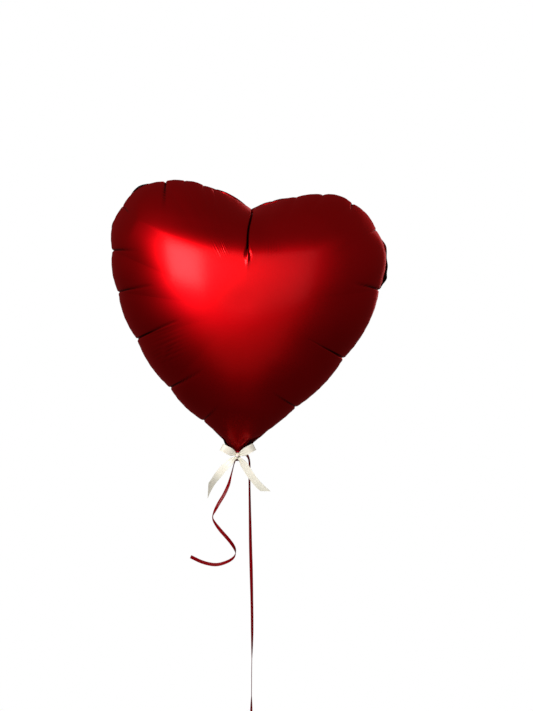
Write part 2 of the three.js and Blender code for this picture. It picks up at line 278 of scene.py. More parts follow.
def thread_look():
    look = shader("thread", (0.86, 0.82, 0.72), 0.7, Sheen_Weight=0.3)
    twist = noise_node(look, 2400.0, stretch=(1, 1, 3))
    vary(look, "Base Color", twist, (0.78, 0.74, 0.64), (0.90, 0.87, 0.78))
    bump(look, twist, 0.6, 0.0002)
    return look


def clear_film_look():
    look = shader("clear_film", (0.93, 0.94, 0.92), 0.18, Transmission_Weight=0.85, IOR=1.3)
    haze = noise_node(look, 120.0)
    vary(look, "Roughness", haze, 0.12, 0.25)
    return look


def floor_look():
    look = shader("floor", (0.82, 0.82, 0.81), 0.8)
    cloud = noise_node(look, 6.0)
    vary(look, "Base Color", cloud, (0.80, 0.80, 0.79), (0.84, 0.84, 0.83))
    return look


# ---- mesh helpers ---------------------------------------------------------------------------

def mesh_object(name, points, faces, look, uvs=None):
    mesh = bpy.data.meshes.new(name)
    mesh.from_pydata([tuple(map(float, p)) for p in points], [], faces)
    if uvs is not None:
        layer = mesh.uv_layers.new(name="UVMap")
        corners = np.zeros(len(mesh.loops), dtype=np.int32)
        mesh.loops.foreach_get("vertex_index", corners)
        layer.data.foreach_set("uv", np.asarray(uvs, dtype=np.float32)[corners].ravel())
    mesh.materials.append(look)
    mesh.validate()
    mesh.update()
    mesh.shade_smooth()
    piece = bpy.data.objects.new(name, mesh)
    bpy.context.scene.collection.objects.link(piece)
    return piece


def unit(vectors):
    return vectors / np.maximum(np.linalg.norm(vectors, axis=-1, keepdims=True), 1e-12)


def smooth_line(points, step):
    """A Catmull-Rom curve through the points, sampled about every step metres."""
    points = np.asarray(points, dtype=float)
    padded = np.vstack([2 * points[0] - points[1], points, 2 * points[-1] - points[-2]])
    samples = []
    for i in range(len(points) - 1):
        a, b, c, d = padded[i:i + 4]
        for t in np.arange(16) / 16:
            samples.append(0.5 * (2 * b + (c - a) * t + (2 * a - 5 * b + 4 * c - d) * t ** 2
                                  + (3 * b - a - 3 * c + d) * t ** 3))
    samples.append(points[-1])
    samples = np.array(samples)
    along = np.concatenate([[0], np.cumsum(np.linalg.norm(np.diff(samples, axis=0), axis=1))])
    count = max(2, round(along[-1] / step))
    even = np.linspace(0, along[-1], count + 1)
    return np.stack([np.interp(even, along, samples[:, k]) for k in range(3)], axis=1)


def strip(name, line, facing, width, thickness, look, lanes=6, relief=None, shift=None):
    """A closed flat ribbon along line, whose face looks along facing. width may vary along it.
    relief(i, t) lifts the face at sample i, where t runs from -1 to 1 over the width, and
    shift(i, t) slides the end along the line to give a slanted cut."""
    count = len(line)
    tangent = unit(np.gradient(line, axis=0))
    across = unit(np.cross(tangent, facing))
    normal = unit(np.cross(across, tangent))
    width = np.broadcast_to(np.asarray(width, dtype=float), (count,))
    along = np.concatenate([[0], np.cumsum(np.linalg.norm(np.diff(line, axis=0), axis=1))])
    points, uvs = [], []
    for side in (1, -1):
        for i in range(count):
            for lane in range(lanes + 1):
                t = 2 * lane / lanes - 1
                lift = relief(i, t) if relief else 0.0
                slide = shift(i, t) if shift else 0.0
                place = line[i] + across[i] * (t * width[i] / 2) + tangent[i] * slide
                points.append(place + normal[i] * (lift + side * thickness / 2))
                uvs.append((along[i] / 0.01, (t + 1) / 2))
    row = lanes + 1
    back = count * row
    faces = []
    for i in range(count - 1):
        for lane in range(lanes):
            a = i * row + lane
            faces.append((a, a + row, a + row + 1, a + 1))
            faces.append((back + a, back + a + 1, back + a + row + 1, back + a + row))
        for a, b in ((i * row, (i + 1) * row), ((i + 1) * row + lanes, i * row + lanes)):
            faces.append((a, back + a, back + b, b))
    for start, flip in ((0, False), ((count - 1) * row, True)):
        for lane in range(lanes):
            a = start + lane
            face = (a, a + 1, back + a + 1, back + a)
            faces.append(face[::-1] if flip else face)
    ribbon = mesh_object(name, points, faces, look, uvs)
    ribbon.data.set_sharp_from_angle(angle=math.radians(50))
    return ribbon


def turned(point, axis):
    """A point of a shape turned about Z, moved so that the shape is turned about axis."""
    x, y, z = point
    if axis == "Y":
        return (x, z, -y)
    if axis == "X":
        return (z, y, -x)
    return (x, y, z)


def lathe(name, profile, look, axis="Z", place=(0, 0, 0), sides=48, wave=None):
    """A closed turned shape. profile is (radius, height) from the bottom to the top, and
    wave(angle, height) multiplies the radius."""
    points = [(0, 0, profile[0][1])]
    for radius, height in profile:
        for k in range(sides):
            angle = 2 * math.pi * k / sides
            r = radius * (wave(angle, height) if wave else 1)
            points.append((r * math.cos(angle), r * math.sin(angle), height))
    points.append((0, 0, profile[-1][1]))
    top = len(points) - 1
    faces = []
    for k in range(sides):
        n = (k + 1) % sides
        faces.append((0, 1 + n, 1 + k))
        for level in range(len(profile) - 1):
            a = 1 + level * sides
            faces.append((a + k, a + n, a + sides + n, a + sides + k))
        a = 1 + (len(profile) - 1) * sides
        faces.append((a + k, a + n, top))
    points = [Vector(turned(p, axis)) + Vector(place) for p in points]
    return mesh_object(name, points, faces, look)


# ---- ribbons --------------------------------------------------------------------------------

RIBBON_WIDTH = 0.0047
RIBBON_THICKNESS = 0.00025
RIBBON_CROWN = 0.00025                   # how far the middle of the ribbon stands above its edges
HAND_LOOP_WIDTH = 0.0044
CORD_STEP = 0.0025

LONG_ROUTE = [
    (3.2, 10.4, -2.2), (8, 10.6, -2.4), (12.6, 11, -5), (15.4, 11.4, -11), (16.2, 11.7, -20),
    (16, 12, -35), (16.2, 12, -57), (16.8, 12, -92), (17.5, 12, -129), (18.6, 12, -172),
    (19.4, 12, -212), (19.7, 12, -245), (19.5, 12, -270), (19, 12, -300), (18.8, 12, -330),
    (18.5, 12, -356.8),
]
LONG_TURN = [  # height in mm and how far the face is turned away from the front, in degrees
    (0, 40), (-10, 62), (-25, 60), (-50, 58), (-80, 50), (-110, 36), (-160, 20), (-200, 38),
    (-245, 44), (-268, 64), (-284, 82), (-334, 82), (-345, 62), (-360, 45),
]

CURL_ROUTE = [
    (-0.4, 6.9, -5.1), (-2.4, 6.6, -10), (-4.8, 5, -16), (-6.6, 2.6, -23), (-9.2, 0.2, -33),
    (-12.4, -2.2, -44.5), (-18, -4, -57), (-24.9, -5.6, -68.5), (-31, -8, -80),
    (-33.6, -11.5, -88), (-30.2, -17, -95), (-22, -22, -105), (-12, -21, -116.5),
    (-4.6, -16, -127.5), (-2.4, -10, -136), (-6.2, -3.6, -144), (-17, 1, -150.6),
    (-31, 2.6, -153.6), (-47.6, 1, -150), (-63.8, -3, -142),
]
CURL_FACING = [  # which way the face looks at each point of the curl
    (-0.9, -0.4, 0), (-0.9, -0.4, 0), (-0.95, -0.3, 0), (-0.95, -0.3, 0), (-0.9, -0.45, 0),
    (-0.5, -0.87, 0), (-0.3, -0.95, 0), (-0.3, -0.95, 0), (-0.7, -0.7, 0), (-1, 0.0, 0.1),
    (-0.6, -0.75, -0.3), (0, -1, -0.1), (0.3, -0.95, 0.1), (0.6, -0.8, 0.1), (1, 0, 0),
    (0.8, 0.5, -0.4), (0.3, 0.9, -0.6), (0, 0.95, -0.4), (-0.2, 0.95, -0.3), (-0.3, 0.9, -0.2),
]


def millimetres(points):
    return [tuple(c * MM for c in p) for p in points]


def crown(i, t):
    return RIBBON_CROWN * (1 - t * t)


def make_long_ribbon(look):
    line = smooth_line(millimetres(LONG_ROUTE), CORD_STEP)
    heights, turns = zip(*LONG_TURN[::-1])
    turn = np.radians(np.interp(line[:, 2] / MM, heights, turns))
    facing = np.stack([np.sin(turn), -np.cos(turn), np.zeros(len(line))], axis=1)
    ribbon = strip("long_ribbon_film", line, facing, RIBBON_WIDTH, RIBBON_THICKNESS, look,
                   lanes=4, relief=crown)
    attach(ribbon, "ribbon")
    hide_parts("long_ribbon")
    return ribbon, line


def make_curl(look):
    line = smooth_line(millimetres(CURL_ROUTE), CORD_STEP)
    wanted = np.linspace(0, 1, len(line))
    route = np.asarray(millimetres(CURL_ROUTE))
    lengths = np.concatenate([[0], np.cumsum(np.linalg.norm(np.diff(route, axis=0), axis=1))])
    spots = lengths / lengths[-1]
    known = np.array(CURL_FACING)
    facing = np.stack([np.interp(wanted, spots, known[:, k]) for k in range(3)], axis=1)
    facing = even_out(unit(facing), 6)
    ribbon = strip("curled_ribbon_film", line, facing, RIBBON_WIDTH, RIBBON_THICKNESS, look,
                   lanes=4, relief=crown)
    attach(ribbon, "curl")
    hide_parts("short_ribbon")


def even_out(values, passes):
    values = values.copy()
    for _ in range(passes):
        values[1:-1] = (values[:-2] + 2 * values[1:-1] + values[2:]) / 4
    return unit(values)


def make_hand_loop(look):
    """A flat ribbon bent into the loop, with its face looking into the loop."""
    low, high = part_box("hand_loop")
    centre = (np.array(low) + np.array(high)) / 2
    half_width = (high[0] - low[0]) / 2 - 1.5 * MM
    half_height = (high[2] - low[2]) / 2 - 1.0 * MM
    angles = np.linspace(0.5 * math.pi, 2.5 * math.pi, 97)
    line = np.stack([centre[0] + half_width * np.cos(angles) * (1 - 0.25 * np.sin(angles)),
                     np.full(len(angles), centre[1]),
                     centre[2] + half_height * np.sin(angles)], axis=1)
    line[0, 1] -= 0.3 * MM
    line[-1, 1] += 0.3 * MM
    facing = unit(centre - line) + np.array([0, -0.9, 0])
    loop = strip("hand_loop_film", line, facing, HAND_LOOP_WIDTH, RIBBON_THICKNESS, look, lanes=4)
    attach(loop, "loop")
    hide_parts("hand_loop")
    return loop


def wound_knot(name, low, high, axis, turns, look, body, node):
    """A small knot: turns of flat ribbon side by side round a core, as in a tight overhand knot."""
    centre = (np.array(low) + np.array(high)) / 2
    half = (np.array(high) - np.array(low)) / 2
    length = 2 * half["XYZ".index(axis)]
    radius = min(half[k] for k in range(3) if k != "XYZ".index(axis))
    profile = []
    steps = 6 * turns
    for i in range(steps + 1):
        t = i / steps
        ends = math.sqrt(max(0.0, 1 - (2 * t - 1) ** 4))
        groove = 0.86 + 0.14 * abs(math.sin(math.pi * turns * t))
        profile.append((max(0.15 * radius, radius * ends * groove), (t - 0.5) * length))

    def wave(angle, height):
        return 1 - 0.05 * (1 + math.cos(3 * angle + 900 * height))

    knot = lathe(name, profile, look, axis=axis, place=centre, sides=40, wave=wave)
    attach(knot, body)
    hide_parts(node)
    return knot


def make_ribbons(look):
    make_curl(look)
    ribbon, line = make_long_ribbon(look)
    loop = make_hand_loop(look)
    knot = wound_knot("hand_loop_tie", *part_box("hand_loop_knot"), "Z", 3, look, "ribbon",
                      "hand_loop_knot")
    wound_knot("neck_knot", *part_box("ribbon_knot"), "Y", 3, look, "envelope", "ribbon_knot")


# ---- envelope, in millimetres in the heart's own upright frame ------------------------------

HEART_CENTRE = np.array([0.0, 190.0])
FULLNESS = 1.2                  # half the depth of a round film balloon is 0.6 of its radius
FILM_THICKNESS = 0.12
EDGE_DEPTH = 6.0                # half thickness where the film turns in towards the seam
NECK_DEPTH = 2.6                # the same at the neck
TURN_IN_STEPS = 5
RIM_STEPS = 4
SEAM_INSET = 3.0                # the seam lies this far inside the outline
RIM = 6.3                       # width of the heat-seal rim
PLY = 0.15                      # half the space between the two films of the rim
FLATTENING = 1.3                # above 1 the front is flatter and its sides steeper
RIDGE_Z = 262.0                 # the film folds back above this height
RIDGE_RISE = (0.10, 0.21)       # the ridge climbs this much for each millimetre left and right
ROOF = 0.6                      # how straight the film runs back above the ridge

# Outline of the filled film as Bezier stretches from the neck to the cleft.
RIGHT_OUTLINE = [
    ((0, -1.5), (3.4, -1.5), (3.2, 1), (3.4, 4)),
    ((3.4, 4), (6, 7.5), (9, 13), (13.5, 17.5)),
    ((13.5, 17.5), (18, 21), (24, 23), (31.2, 26.9)),
    ((31.2, 26.9), (112.1, 87.2), (184, 173.9), (185, 268)),
    ((185, 268), (185, 306), (148, 355.5), (104, 356)),
    ((104, 356), (72, 356), (40, 346), (0, 329.5)),
]
LEFT_OUTLINE = [
    ((0, -1.5), (-3.4, -1.5), (-3.2, 1), (-4.6, 3.4)),
    ((-4.6, 3.4), (-8, 6.5), (-11.5, 9.5), (-16, 16)),
    ((-16, 16), (-19, 19.5), (-24, 22), (-28.6, 25.4)),
    ((-28.6, 25.4), (-114, 78), (-185, 176), (-187, 278)),
    ((-187, 278), (-187, 325), (-155, 364.5), (-98, 364.5)),
    ((-98, 364.5), (-66, 364.5), (-36, 348), (0, 329.5)),
]

# Creases that run in from the seam: where each starts and ends, in millimetres, and its depth.
FRONT_CREASES = [
    ((-185, 263.5), (-146, 262), 4.0), ((-170, 208), (-122, 217), 3.4),
    ((-143, 146), (-87, 172), 4.6), ((-96, 82), (-47, 111), 4.2), ((-46, 43), (-24, 67), 2.4),
    ((-170, 321), (-161, 312), 1.8), ((-118, 359), (-114, 314), 4.0),
    ((-92, 364), (-91, 355), 1.6), ((-66, 361), (-66, 350), 1.8), ((-52, 355), (-50, 346), 1.4),
    ((175, 231), (139, 235), 4.4), ((134, 136), (86, 157), 4.2), ((76, 65), (38, 88), 3.2),
    ((170, 311), (161, 305), 2.0), ((137, 346), (133.5, 331), 3.0),
    ((96, 356), (97, 346), 1.8), ((61, 353), (59, 345), 1.4), ((31, 341), (27, 334), 1.2),
]
REAR_CREASES = [
    ((-185, 263.5), (-150, 255), 4.0), ((-170, 208), (-130, 219), 3.4),
    ((-143, 146), (-96, 160), 4.6), ((-96, 82), (-62, 118), 4.2), ((-46, 43), (-28, 74), 2.4),
    ((-170, 321), (-146, 303), 3.0), ((-118, 359), (-106, 327), 4.0),
    ((-66, 361), (-61, 336), 2.6),
    ((175, 231), (130, 228), 4.4), ((134, 136), (97, 162), 4.2), ((76, 65), (52, 98), 3.2),
    ((170, 311), (140, 296), 3.2), ((137, 346), (125, 322), 3.0), ((96, 356), (93, 330), 2.6),
]


def bezier(stretches, samples):
    points = []
    t = np.arange(samples)[:, None] / samples
    for a, b, c, d in np.asarray(stretches, dtype=float):
        start = (1 - t) ** 3 * a + 3 * (1 - t) ** 2 * t * b
        points.append(start + 3 * (1 - t) * t ** 2 * c + t ** 3 * d)
    return np.vstack(points)


class Outline:
    """The closed outline, run once round from the neck up the right side and down the left."""

    def __init__(self, count):
        right = bezier(RIGHT_OUTLINE, 160)
        left = bezier(LEFT_OUTLINE, 160)
        dense = np.vstack([right, [RIGHT_OUTLINE[-1][-1]], left[:0:-1]])
        closed = np.vstack([dense, dense[:1]])
        steps = np.linalg.norm(np.diff(closed, axis=0), axis=1)
        self.along = np.concatenate([[0], np.cumsum(steps)])
        self.length = self.along[-1]
        self.closed = closed
        fine = np.linspace(0, self.length, 6000)
        weight = np.ones(6000)
        for start, _, _ in FRONT_CREASES + REAR_CREASES:
            gap = self.gap(fine, self.nearest(start))
            weight += 2.2 * np.exp(-(gap / 5) ** 2)
        notch = self.nearest(RIGHT_OUTLINE[-1][-1])
        weight += 4 * np.exp(-(self.gap(fine, notch) / 8) ** 2)
        total = np.concatenate([[0], np.cumsum((weight[1:] + weight[:-1]) / 2)])
        self.s = np.interp(np.arange(count) / count * total[-1], total, fine)
        self.points = self.at(self.s)
        ahead, behind = self.at(self.s + 1.0), self.at(self.s - 1.0)
        tangent = unit(ahead - behind)
        self.out = np.stack([tangent[:, 1], -tangent[:, 0]], axis=1)

    def at(self, s):
        s = np.mod(s, self.length)
        return np.stack([np.interp(s, self.along, self.closed[:, k]) for k in range(2)], axis=-1)

    def nearest(self, point):
        gaps = np.linalg.norm(self.closed[:-1] - np.asarray(point, dtype=float), axis=1)
        return self.along[int(np.argmin(gaps))]

    def gap(self, s, spot):
        d = np.abs(s - spot)
        return np.minimum(d, self.length - d)


def plan_rings(outline, rings):
    """Plan positions of the rings, close together near the edge: rings x count x 2."""
    u = np.arange(1, rings + 1) / rings
    scale = 1 - (1 - u) ** 2
    offset = outline.points - HEART_CENTRE
    return HEART_CENTRE + scale[:, None, None] * offset[None]


SOLVER_PASSES = 1500
SOLVER_LIMIT = 1e-7


def membrane_lift(plan):
    """Height of a membrane blown up from the plan, held on the last ring: a finite element
    solution on the ring mesh by conjugate gradients."""
    rings, count, _ = plan.shape
    points = np.vstack([[HEART_CENTRE], plan.reshape(-1, 2)])
    grid = 1 + np.arange(rings * count).reshape(rings, count)
    step = np.roll(grid, -1, axis=1)
    triangles = [np.stack([np.zeros(count, dtype=int), grid[0], step[0]], axis=1)]
    for k in range(rings - 1):
        triangles.append(np.stack([grid[k], grid[k + 1], step[k + 1]], axis=1))
        triangles.append(np.stack([grid[k], step[k + 1], step[k]], axis=1))
    triangles = np.vstack(triangles)
    load = np.zeros(len(points))
    starts, ends, weights = [], [], []
    for k in range(3):
        a, b, c = (triangles[:, (k + j) % 3] for j in range(3))
        ab, ac = points[b] - points[a], points[c] - points[a]
        area = np.abs(ab[:, 0] * ac[:, 1] - ab[:, 1] * ac[:, 0])
        weight = (ab * ac).sum(axis=1) / np.maximum(area, 1e-9) / 2
        starts.append(b)
        ends.append(c)
        weights.append(weight)
        load += np.bincount(a, area / 6, len(points))
    starts, ends, weights = map(np.concatenate, (starts, ends, weights))
    free = np.ones(len(points), dtype=bool)
    free[grid[-1]] = False
    diagonal = np.bincount(starts, weights, len(points)) + np.bincount(ends, weights, len(points))

    def stiffness(height):
        return (diagonal * height - np.bincount(starts, weights * height[ends], len(points))
                - np.bincount(ends, weights * height[starts], len(points))) * free

    height = np.zeros(len(points))
    left_over = load * free
    scaled = left_over / diagonal
    direction = scaled.copy()
    power = left_over @ scaled
    for _ in range(SOLVER_PASSES):
        pull = stiffness(direction)
        size = power / (direction @ pull)
        height += size * direction
        left_over -= size * pull
        if np.abs(left_over).max() < SOLVER_LIMIT * load.max():
            break
        scaled = left_over / diagonal
        new_power = left_over @ scaled
        direction = scaled + new_power / power * direction
        power = new_power
    return height[0], height[1:].reshape(rings, count)


def smoothstep(x, low, high):
    t = np.clip((x - low) / (high - low), 0, 1)
    return t * t * (3 - 2 * t)


def bell(x):
    return np.exp(-x * x)


def flatten_front(lift, highest):
    """A film that can't stretch is flatter in the middle and steeper at its sides."""
    part = np.clip(lift / highest, 0, 1)
    return highest * (1 - (1 - part) ** FLATTENING)


def fold_back_top(plan, lift):
    """Above the end of the fold under the cleft the film runs straight back to the seam."""
    x, z = plan[..., 0], plan[..., 1]
    left, right = RIDGE_RISE
    rise = left + (right - left) * smoothstep(x, -40, 40)
    above = z - RIDGE_Z - rise * np.abs(x)
    near = np.abs(above) < 4
    even = np.polyfit(x[near] ** 2, lift[near], 3)
    at_ridge = np.maximum(np.polyval(even, np.minimum(x ** 2, 150.0 ** 2)), 400.0)
    part = np.clip(lift / at_ridge, 0, 1)
    strength = ROOF * smoothstep(above, -14, 34)
    return lift * ((part + 0.08) / 1.08) ** strength


def crease_relief(plan, creases):
    """How far each point of the film lies under its smooth surface because of the creases, and how
    much painted shade darkens the colour along each crease's core.
    """
    relief = np.zeros(plan.shape[:-1])
    fold_shade = np.zeros(plan.shape[:-1])
    for start, end, depth in creases:
        start, end = np.array(start, dtype=float), np.array(end, dtype=float)
        length = np.linalg.norm(end - start)
        ahead = (end - start) / length
        offset = plan - start
        t = offset @ ahead
        d = offset @ np.array([-ahead[1], ahead[0]])
        fade = np.clip(1 - t / length, 0, 1) ** 0.75
        sharp = np.clip(1 - np.abs(d) / (1.2 + 1.2 * fade), 0, 1) ** 1.2
        far = np.clip(1 - t / (1.3 * length), 0, 1) ** 1.5
        gather = np.exp(-np.abs(d) / (0.3 * length + 3))
        relief -= depth * (0.65 * fade * sharp + 0.35 * far * gather)
        # painted shade along the core of the crease
        core = np.clip(1.6 - np.abs(d) / 1.0, 0, 1) * np.clip(1.5 * (0.9 - t / length), 0, 1)
        fold_shade = np.maximum(fold_shade, core * min(1.0, depth / 3.5))
    return relief, fold_shade


PLEAT_TOP = [(1.2, 330), (1.9, 322), (0.4, 310), (-1.0, 300), (-1.3, 290), (-0.9, 276)]
PLEAT_LEFT = [(-0.9, 276), (-2.2, 269), (-4.2, 261)]
PLEAT_RIGHT = [(-0.9, 276), (1.6, 268), (4.8, 258)]


def line_distance(plan, line):
    """Distance to a line of points, and how far along it the nearest point is, from 0 to 1."""
    line = np.asarray(line, dtype=float)
    best = np.full(plan.shape[:-1], np.inf)
    place = np.zeros(plan.shape[:-1])
    lengths = np.concatenate([[0], np.cumsum(np.linalg.norm(np.diff(line, axis=0), axis=1))])
    for i, (a, b) in enumerate(zip(line[:-1], line[1:])):
        span = b - a
        t = np.clip(((plan - a) @ span) / (span @ span), 0, 1)
        d = np.linalg.norm(plan - a - t[..., None] * span, axis=-1)
        closer = d < best
        best = np.where(closer, d, best)
        along = (lengths[i] + t * (lengths[i + 1] - lengths[i])) / lengths[-1]
        place = np.where(closer, along, place)
    return best, place


def pleat_relief(plan):
    """The closed fold that runs down from the cleft and forks round a small raised tongue, with
    painted shade along the fold and its two branches.
    """
    d, t = line_distance(plan, PLEAT_TOP)
    relief = -5.5 * np.clip(1 - d / 1.9, 0, 1) ** 1.2 - 1.2 * np.exp(-d / 6) * (1 - 0.4 * t)
    fold_shade = np.clip(1.6 - d / 0.8, 0, 1)
    for branch in (PLEAT_LEFT, PLEAT_RIGHT):
        d, t = line_distance(plan, branch)
        relief -= 3.6 * (1 - t) ** 0.6 * np.clip(1 - d / 1.9, 0, 1) ** 1.2
        fold_shade = np.maximum(fold_shade, np.clip(1.5 - d / 0.7, 0, 1) * np.clip(1.3 * (1 - t), 0, 1))
    tongue = np.linalg.norm((plan - np.array([0.2, 262])) / np.array([2.2, 9]), axis=-1)
    relief += 1.6 * bell(tongue)
    return relief, fold_shade


# Patches of fine wrinkles on the front (-1) and the rear (1): middle, direction, half length,
# half width, distance between wrinkles and height, in millimetres.
WRINKLES = {
    -1: [((-33, 270), (0.25, 1), 14, 15, 3.6, 0.14), ((33, 272), (-0.1, 1), 12, 15, 3.7, 0.10),
         ((-98, 134), (1, 0.42), 26, 24, 5.6, 0.30)],
    1: [((96, 120), (1, -0.5), 26, 24, 5.6, 0.30)],
}
# how dark the painted shade is in the valleys of the wrinkles
WRINKLE_SHADE = 0.4


def wrinkle_relief(plan, centre, direction, half_length, half_width, pitch):
    """A patch of fine side-by-side wrinkles that run along direction, from -1 to 1."""
    ahead = unit(np.array(direction, dtype=float))
    offset = plan - np.array(centre, dtype=float)
    t = offset @ ahead
    d = offset @ np.array([-ahead[1], ahead[0]])
    wave = np.sin(2 * math.pi * d / pitch + 0.7 * np.sin(d / pitch * 1.7))
    return bell(t / half_length) ** 2 * bell(d / half_width) ** 2 * wave


def rim_noise(s, length, seed, waves):
    """A closed, seeded wave round the rim. waves are (number of waves round the rim, height)."""
    random = np.random.default_rng(seed)
    total = np.zeros(len(s))
    for number, height in waves:
        total += height * np.sin(2 * math.pi * number * s / length + random.uniform(0, 2 * math.pi))
    return total


def between_creases(outline, starts):
    """0 at each crease and 1 half way to the next, round the outline."""
    spots = np.sort([outline.nearest(p) for p in starts])
    spots = np.concatenate([[spots[-1] - outline.length], spots, [spots[0] + outline.length]])
    k = np.clip(np.searchsorted(spots, outline.s, side="right") - 1, 0, len(spots) - 2)
    part = (outline.s - spots[k]) / (spots[k + 1] - spots[k])
    span = spots[k + 1] - spots[k]
    return np.sin(math.pi * part), span


# Places on the rim, each with its spot and size. A tilt is in degrees, a width in millimetres.
RIM_TILT = 68
RIM_TILTS = [((-33, 346), 24, 8), ((27, 341), 22, 14), ((-150, 346), 15, 16),
             ((184, 288), 14, 22), ((184, 252), 18, 12), ((-187, 300), 10, 35), ((0, 10), 28, 2)]
# spots where the rim gets the most painted shade
RIM_SHADES = [((-152, 350), 15), ((184, 254), 26), ((0, 10), 26)]
RIM_WIDTHS = [((-150, 346), 12, 1.0), ((186, 247), 6, 3.0), ((187, 265), 7, 2.0),
              ((185, 290), 7, 1.4), ((17, 16), 12, 2.0), ((-17, 16), 14, -2.0)]


def nearness(outline, spot, size):
    """1 at the spot, falling to 0 round the outline."""
    x, z = outline.points.T
    return bell(np.hypot(x - spot[0], z - spot[1]) / size)


def rim_tilt(outline):
    """How far the rim is folded back from the plane of the seam, round the outline, in radians.
    It stands out where it shows from the front: by the cleft, on the outer lobes, at the tip."""
    tilt = np.full(len(outline.points), math.radians(RIM_TILT))
    for spot, size, angle in RIM_TILTS:
        tilt += nearness(outline, spot, size) * (math.radians(angle) - tilt)
    return tilt


def rim_shade(outline):
    """Painted shade on the rim: its colour is darkened towards near black a little all round, and
    most where it lies doubled over on itself.
    """
    shade = np.full(len(outline.points), 0.25)
    for spot, size in RIM_SHADES:
        shade = np.maximum(shade, np.minimum(1, 1.5 * nearness(outline, spot, size)))
    return shade


def rim_width(outline):
    """The seal is wider in a few places, and narrows into the neck."""
    width = np.full(len(outline.points), RIM)
    for spot, size, extra in RIM_WIDTHS:
        width += extra * nearness(outline, spot, size)
    return width * smoothstep(outline.points[:, 1], -1.5, 6)


def neck_relief(plan):
    """Small pleats that fan out from the gathered neck."""
    x, z = plan[..., 0], plan[..., 1]
    angle = np.arctan2(x, np.maximum(z + 2, 0.5))
    reach = np.hypot(x, z)
    fan = np.cos(15 * angle + 0.8) + 0.5 * np.cos(27 * angle)
    crumple = np.sin(1.1 * reach + 4 * angle)
    return 0.3 * fan * bell((reach - 14) / 12) + 0.2 * crumple * bell((reach - 11) / 7)


def filled_shape(outline, side, rings):
    """The smooth film without its seam, how deep it is at its edge, and its middle point."""
    plan = plan_rings(outline, rings)
    lift_centre, lift = membrane_lift(plan)
    half_centre = math.sqrt(FULLNESS ** 2 * lift_centre + EDGE_DEPTH ** 2)
    neck = smoothstep(plan[..., 1], 2, 40)
    edge = NECK_DEPTH + (EDGE_DEPTH - NECK_DEPTH) * neck
    lift = fold_back_top(plan, flatten_front(lift, lift_centre))
    gathered_tip = 0.68 + 0.32 * smoothstep(plan[..., 1], 2, 64)
    half = np.sqrt(FULLNESS ** 2 * lift + edge ** 2) * gathered_tip
    film = np.stack([plan[..., 0], side * half, plan[..., 1]], axis=-1)
    return film, (edge * gathered_tip)[-1], np.array([0, side * half_centre, HEART_CENTRE[1]])


def turn_in(outline, side, edge):
    """The rings that lead round the edge of the film to the seam."""
    neck = smoothstep(outline.points[:, 1], 2, 40)
    levels = []
    for step in range(1, TURN_IN_STEPS + 1):
        angle = math.pi / 2 * step / TURN_IN_STEPS
        inset = SEAM_INSET * (1 - math.cos(angle)) * neck
        place = outline.points - outline.out * inset[:, None]
        y = side * (PLY + (edge - PLY) * math.cos(angle))
        levels.append(np.stack([place[:, 0], y, place[:, 1]], axis=-1))
    return np.array(levels)


def film_normals(film, side):
    along = np.roll(film, -1, axis=1) - np.roll(film, 1, axis=1)
    outward = np.gradient(film, axis=0)
    normal = unit(np.cross(along, outward))
    return normal * np.sign((normal[..., 1] * side).sum())


def film_relief(plan, outline, side, creases, rings):
    """How far each point stands off the smooth film, and how much painted shade darkens it in
    creases, folds and wrinkle valleys.
    """
    own, fold_shade = crease_relief(plan, creases)
    shared = crease_relief(plan[-1:], FRONT_CREASES)[0][0]
    levels = plan.shape[0]
    edge_weight = smoothstep(np.arange(levels), rings - 6, levels - 1)[:, None]
    relief = own * (1 - edge_weight) + shared[None] * edge_weight
    part, span = between_creases(outline, [c[0] for c in FRONT_CREASES])
    puff = 0.03 * np.minimum(span, 60) * part
    inward = np.linalg.norm(plan - outline.points[None], axis=-1)
    relief += puff[None] * bell(inward / 46)
    fine = rim_noise(outline.s, outline.length, SEED + side, [(61, 0.10), (97, 0.08), (143, 0.06)])
    relief += fine[None] * np.exp(-inward / 12)
    mirrored = plan * np.array([-side, 1])
    pleat, pleat_shade = pleat_relief(mirrored)
    relief += pleat + neck_relief(mirrored)
    fold_shade = np.maximum(fold_shade, pleat_shade)
    for centre, direction, length, width, pitch, height in WRINKLES[side]:
        wrinkles = wrinkle_relief(plan, centre, direction, length, width, pitch)
        relief += height * wrinkles
        # painted shade in the wrinkle valleys
        fold_shade = np.maximum(fold_shade, WRINKLE_SHADE * np.clip(-wrinkles, 0, 1))
    return relief * smoothstep(plan[..., 1], 3, 16), fold_shade


def rim_levels(outline, side, seam):
    """The heat-seal rim, from the seam outwards, rippled and folded back."""
    tilt = rim_tilt(outline)
    width = rim_width(outline)
    ripple = rim_noise(outline.s, outline.length, SEED, [(37, 0.5), (59, 0.45), (83, 0.3)])
    rim = []
    for step in range(1, RIM_STEPS + 1):
        part = step / RIM_STEPS
        reach = (width * part * np.cos(tilt))[:, None]
        back = width * part * np.sin(tilt) + ripple * part * smoothstep(outline.points[:, 1], 4, 30)
        flat = seam[:, [0, 2]] + outline.out * reach
        rim.append(np.stack([flat[:, 0], side * PLY + back, flat[:, 1]], axis=-1))
    return np.array(rim)


def film_sheet(outline, side, creases, rings):
    """One film, front (side -1) or rear (side 1): its middle point, its rings from the middle
    over the outer edge to the seam and the rim, and how much painted shade darkens each point."""
    film, edge, middle = filled_shape(outline, side, rings)
    film = np.concatenate([film, turn_in(outline, side, edge)])
    relief, fold_shade = film_relief(film[..., [0, 2]], outline, side, creases, rings)
    film = film + film_normals(film, side) * relief[..., None]
    rim = rim_levels(outline, side, film[-1])
    # painted shade on the rim, and where creases reach its edge
    dark = np.maximum(0.6 * fold_shade[-1], rim_shade(outline))
    fold_shade = np.concatenate([fold_shade, np.repeat(dark[None], len(rim), axis=0)])
    return middle, np.concatenate([film, rim]), fold_shade


